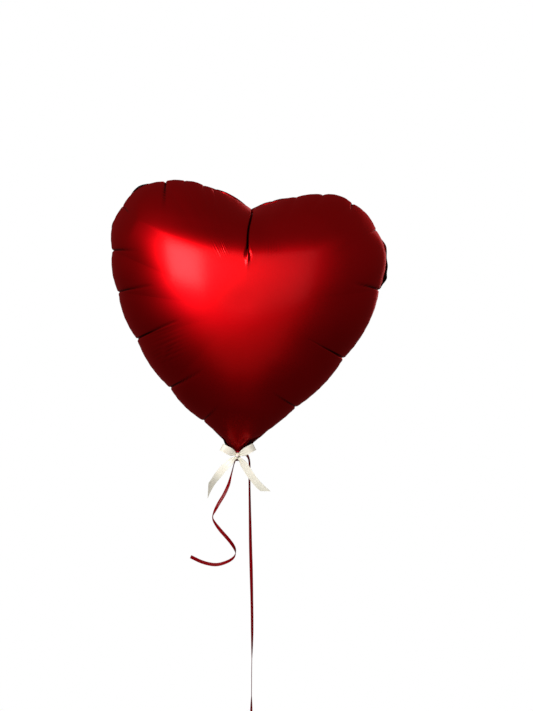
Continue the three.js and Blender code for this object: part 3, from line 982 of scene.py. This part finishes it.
def lean(points):
    """From the heart's own upright frame in millimetres to the leaning one in metres."""
    x, y, z = np.asarray(points).T * MM
    return np.stack([x * math.cos(LEAN) + z * math.sin(LEAN), y,
                     z * math.cos(LEAN) - x * math.sin(LEAN)], axis=1)


def make_film(name, outline, side, creases, rings, look, node):
    centre, film, fold_shade = film_sheet(outline, side, creases, rings)
    levels, count, _ = film.shape
    points = lean(np.vstack([[centre], film.reshape(-1, 3)]))
    grid = 1 + np.arange(levels * count).reshape(levels, count)
    faces = []
    for i in range(count):
        j = (i + 1) % count
        faces.append((0, int(grid[0, i]), int(grid[0, j])))
        for k in range(levels - 1):
            corners = (grid[k, i], grid[k + 1, i], grid[k + 1, j], grid[k, j])
            faces.append(tuple(map(int, corners)))
    if side > 0:
        faces = [face[::-1] for face in faces]
    piece = mesh_object(name, points, faces, look)
    # painted shade, handed to the material as a point attribute
    painted_fold_shade = piece.data.attributes.new("painted_fold_shade", "FLOAT", "POINT")
    painted_fold_shade.data.foreach_set("value", np.concatenate([[0], fold_shade.ravel()]).astype(np.float32))
    shell = piece.modifiers.new("film", "SOLIDIFY")
    shell.thickness = FILM_THICKNESS * MM
    shell.offset = -1
    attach(piece, "envelope")
    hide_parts(node)


def make_envelope(look):
    around, rings = ((640, 56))
    outline = Outline(around)
    make_film("front_film", outline, -1, FRONT_CREASES, rings, look, "front_panel")
    make_film("rear_film", outline, 1, REAR_CREASES, rings, look, "rear_panel")


def make_filling_tail(look):
    """The gathered film under the tie, pleated and slightly flared, cut off square."""
    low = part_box("front_panel")[0][2]
    profile = [(0.8 * MM, low + 0.7 * MM), (4.1 * MM, low + 0.4 * MM), (3.3 * MM, low + 4 * MM),
               (2.8 * MM, -3.2 * MM), (2.6 * MM, -1.5 * MM)]

    def wave(angle, height):
        pleat = math.cos(7 * angle + 0.6 * math.sin(2 * angle))
        return 1 + 0.9 * (0.12 - 14 * height) * pleat

    tail = lathe("filling_tail", profile, look, sides=84, wave=wave)
    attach(tail, "envelope")


# ---- bow ------------------------------------------------------------------------------------

SATIN_WIDTH = 0.0098
SATIN_THICKNESS = 0.0003
SATIN_STEP = 0.0008
BAND_WIDTH = 0.0044


def gathered(parts, ends, tight=0.42):
    """Width of the satin along its length: pinched to tight at the ends listed in ends."""
    width = np.full(len(parts), SATIN_WIDTH)
    for end, reach in ends:
        width = width * (tight + (1 - tight) * smoothstep(np.abs(parts - end), 0, reach))
    return width


def pleats(parts, ends, height=0.0010):
    """Lengthwise pleats that run out from each pinched end."""
    fade = np.zeros(len(parts))
    for end, reach in ends:
        fade = np.maximum(fade, bell((parts - end) / (0.7 * reach)))

    def relief(i, t):
        return height * fade[i] * math.cos(2.6 * math.pi * t)

    return relief


def make_bow_loop(name, node, points, look):
    """points are the middle line of the ribbon, out along the front and back behind."""
    line = smooth_line(millimetres(points), SATIN_STEP)
    parts = np.linspace(0, 1, len(line))
    ends = [(0, 0.2), (1, 0.2)]
    tangent = unit(np.gradient(line, axis=0))
    outwards = line[len(line) // 2] - line[0]
    outwards[1] = 0
    across = np.cross(unit(outwards), (0, -1, 0))
    facing = np.cross(across, tangent)
    loop = strip(name, line, facing, gathered(parts, ends), SATIN_THICKNESS, look, lanes=12,
                 relief=pleats(parts, ends))
    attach(loop, "bow")
    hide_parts(node)


LEFT_LOOP = [
    (-1.2, -8.2, -3.2), (-5, -11, -1.4), (-11, -14, 1.6), (-17, -14.4, 4.8), (-20.6, -13, 6.8),
    (-21.6, -11.2, 7.4), (-20, -9.8, 6.6), (-13, -8.8, 3), (-6, -7.4, -0.8), (-1.6, -6.8, -3),
]
RIGHT_LOOP = [
    (1.4, -8.2, -3.4), (5, -11.6, -1.8), (10, -15.2, 0.8), (14.4, -16.6, 3.2), (18, -15.8, 5.2),
    (21, -13.2, 6.8), (22.9, -10.4, 7.7), (22.2, -8.2, 7.4), (17, -7.1, 4.8), (11, -6.9, 1.6),
    (6, -6.8, -1), (1.8, -6.8, -3),
]
LEFT_TAIL_LINE = [
    (-0.6, -8.6, -6.4), (-5.4, -9.4, -9.2), (-12.2, -9.7, -14.6), (-20, -10.2, -23),
    (-27.6, -10.8, -32.4), (-33.6, -11.2, -40.6), (-37.6, -11.4, -47.4), (-39.8, -11.4, -52),
]
RIGHT_TAIL_LINE = [
    (1.2, -8.8, -7.2), (5, -9.6, -11), (10.4, -9.9, -19), (16.8, -10, -29),
    (23.4, -9.8, -38), (30, -9.2, -45.4), (35.5, -8.6, -50.4), (38, -8.3, -52.6),
]


def make_tail(name, node, body, points, turn, cut, look):
    """turn lists how far along the tail its face is turned by how many degrees, and cut is how
    far the slanted end leads on one edge."""
    line = smooth_line(millimetres(points), SATIN_STEP)
    parts = np.linspace(0, 1, len(line))
    ends = [(0, 0.22)]
    angles = np.radians(np.interp(parts, *zip(*turn)))
    tangent = unit(np.gradient(line, axis=0))
    side = np.cross(tangent, (0, -1, 0))
    facing = np.cos(angles)[:, None] * np.array([0, -1, 0]) + np.sin(angles)[:, None] * unit(side)

    def slant(i, t):
        return cut * t * smoothstep(parts[i], 0.72, 1)

    tail = strip(name, line, facing, gathered(parts, ends), SATIN_THICKNESS, look, lanes=12,
                 relief=pleats(parts, ends, 0.0009), shift=slant)
    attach(tail, body)
    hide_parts(node)


def make_waist(look):
    """The middle band: a short pinched width of ribbon wrapped round the bow."""
    low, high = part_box("bow_waist")
    centre_z = (low[2] + high[2]) / 2
    front, back = low[1] + 0.2 * MM, high[1] - 0.1 * MM
    half = (high[2] - low[2]) / 2 - 0.1 * MM
    angles = np.linspace(0, 2 * math.pi, 61)
    line = np.stack([np.zeros(len(angles)), (front + back) / 2 - (back - front) / 2 * np.cos(angles),
                     centre_z + half * np.sin(angles)], axis=1)
    line[:, 0] += 0.0002 * np.sin(angles)
    facing = line - np.array([0, (front + back) / 2, centre_z])

    def folds(i, t):
        return 0.00025 * math.cos(3 * math.pi * t)

    band = strip("bow_band", line, facing, BAND_WIDTH, SATIN_THICKNESS, look, lanes=12,
                 relief=folds)
    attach(band, "bow")
    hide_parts("bow_waist")


def make_bead(look):
    low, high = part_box("pearl_bead")
    centre = (np.array(low) + np.array(high)) / 2
    radius = (high[0] - low[0]) / 2
    hole = 0.16
    profile = [(hole * radius, -0.86 * radius)]
    first = math.asin(hole)
    for i in range(33):
        angle = first + (math.pi - 2 * first) * i / 32
        profile.append((radius * math.sin(angle), -radius * math.cos(angle)))
    profile.append((hole * radius, 0.86 * radius))
    bead = lathe("pearl", profile, look, axis="X", place=centre, sides=48)
    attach(bead, "bow")
    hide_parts("pearl_bead")


def make_bow(satin, pearl):
    make_bow_loop("bow_loop_left_satin", "bow_loop_left", LEFT_LOOP, satin)
    make_bow_loop("bow_loop_right_satin", "bow_loop_right", RIGHT_LOOP, satin)
    make_tail("bow_tail_left_satin", "bow_tail_left", "tail_left", LEFT_TAIL_LINE,
              [(0, 25), (0.3, 10), (0.55, 0), (0.7, -30), (1, -42)], -0.0095, satin)
    make_tail("bow_tail_right_satin", "bow_tail_right", "tail_right", RIGHT_TAIL_LINE,
              [(0, -20), (0.3, -5), (0.6, 10), (1, 25)], -0.005, satin)
    make_waist(satin)
    make_bead(pearl)


def dress_nodes(looks):
    """Gives the CAD nodes that stay their own look."""
    for node, look in looks.items():
        data = bpy.data.objects[node].data
        data.materials.clear()
        data.materials.append(look)


make_camera()
red = red_ribbon_look()
make_ribbons(red)
make_world()
make_lights()
make_floor(floor_look())
foil = foil_look()
make_envelope(foil)
make_filling_tail(foil)
make_bow(satin_look(), pearl_look())
film = clear_film_look()
dress_nodes({"ribbon_wrap": red, "bow_thread": thread_look(), "valve_front_ply": film,
             "valve_rear_ply": film})
